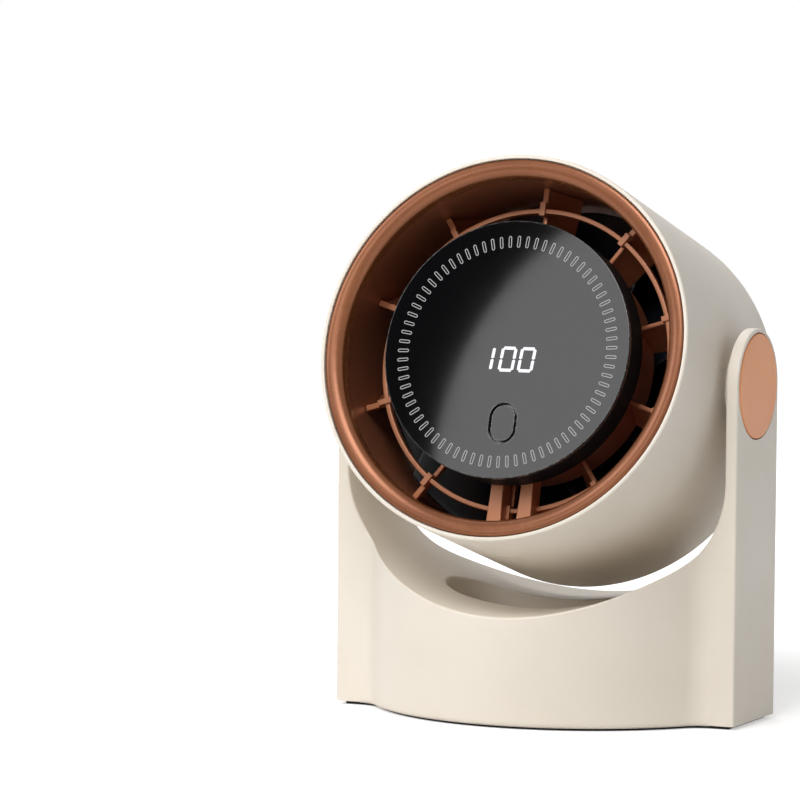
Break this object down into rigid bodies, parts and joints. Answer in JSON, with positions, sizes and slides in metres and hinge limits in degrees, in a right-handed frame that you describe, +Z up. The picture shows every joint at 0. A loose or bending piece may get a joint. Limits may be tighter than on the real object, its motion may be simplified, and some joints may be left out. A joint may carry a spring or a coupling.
{
  "type": "air circulator fan",
  "caption": "Desk air circulator: a round ducted fan head with a display in its middle, tilting between the arms of a U-shaped stand.",
  "frame": {"origin": "on the table, under the middle of the tilt axis, on the flat underside of the anti-slip pad", "axes": "+X along the tilt axis, -Y the way the fan blows when level, +Z up"},
  "size_m": [0.1456, 0.123, 0.1893],
  "materials": {
    "cream_plastic": "satin",
    "copper_finish": "satin metallic",
    "dark_copper_finish": "satin metallic",
    "black_plastic": "matt",
    "black_gloss": "gloss",
    "rubber": "matt",
    "steel": "plain",
    "nickel": "bright",
    "circuit_board": "solder mask",
    "windings": "lacquered wire",
    "cell_wrap": "heat-shrink film",
    "diffuser": "milky",
    "magnet": "ferrite",
    "aluminium": "plain"
  },
  "bodies": {
    "stand": {"stand_shell": "cream_plastic", "bottom_cover": "cream_plastic", "anti_slip_pad": "rubber", "base_screw_1": "steel", "base_screw_2": "steel", "base_screw_3": "steel", "base_screw_4": "steel", "battery_holder": "black_plastic", "battery_cell_front": "cell_wrap", "battery_cell_rear": "cell_wrap", "battery_strip_right": "nickel", "battery_strip_left": "nickel", "charging_board": "circuit_board", "usb_c_socket": "nickel", "right_pivot_cap": "copper_finish", "left_pivot_cap": "copper_finish", "right_friction_washer": "rubber", "left_friction_washer": "rubber"},
    "head": {"head_shell": "cream_plastic", "front_lip": "copper_finish", "air_duct": "dark_copper_finish", "front_guard": "copper_finish", "guide_vanes": "dark_copper_finish", "rear_grille": "cream_plastic", "grille_screw_1": "steel", "grille_screw_2": "steel", "grille_screw_3": "steel", "grille_screw_4": "steel", "display_housing": "black_plastic", "display_lens": "black_gloss", "display_board": "circuit_board", "tick_light_ring": "diffuser", "digit_module": "black_plastic", "button_switch": "black_plastic", "pod_screw_1": "steel", "pod_screw_2": "steel", "pod_screw_3": "steel", "right_trunnion": "steel", "left_trunnion": "steel", "right_retaining_washer": "steel", "left_retaining_washer": "steel", "right_pivot_screw": "steel", "left_pivot_screw": "steel", "motor_base": "aluminium", "motor_stator": "windings", "front_bearing": "steel", "rear_bearing": "steel"},
    "impeller_assembly": {"impeller": "black_plastic", "rotor_can": "steel", "magnet_ring": "magnet", "motor_shaft": "steel"},
    "button": {"power_button": "black_gloss"}
  },
  "joints": [
    {"name": "head_tilt", "type": "hinge", "parent": "stand", "child": "head", "pos_m": [0, 0, 0.113], "axis": [-1, 0, 0], "range_deg": [-25.7, 74.2]},
    {"name": "impeller_spin", "type": "hinge", "parent": "head", "child": "impeller_assembly", "pos_m": [0, 0, 0.113], "axis": [0, -0.9624, 0.2716], "continuous": true},
    {"name": "button_press", "type": "slide", "parent": "head", "child": "button", "axis": [0, 0.9624, -0.2716], "range_m": [0, 0.0008], "stiffness_N_per_m": 1500, "springref_m": -0.0003}
  ]
}
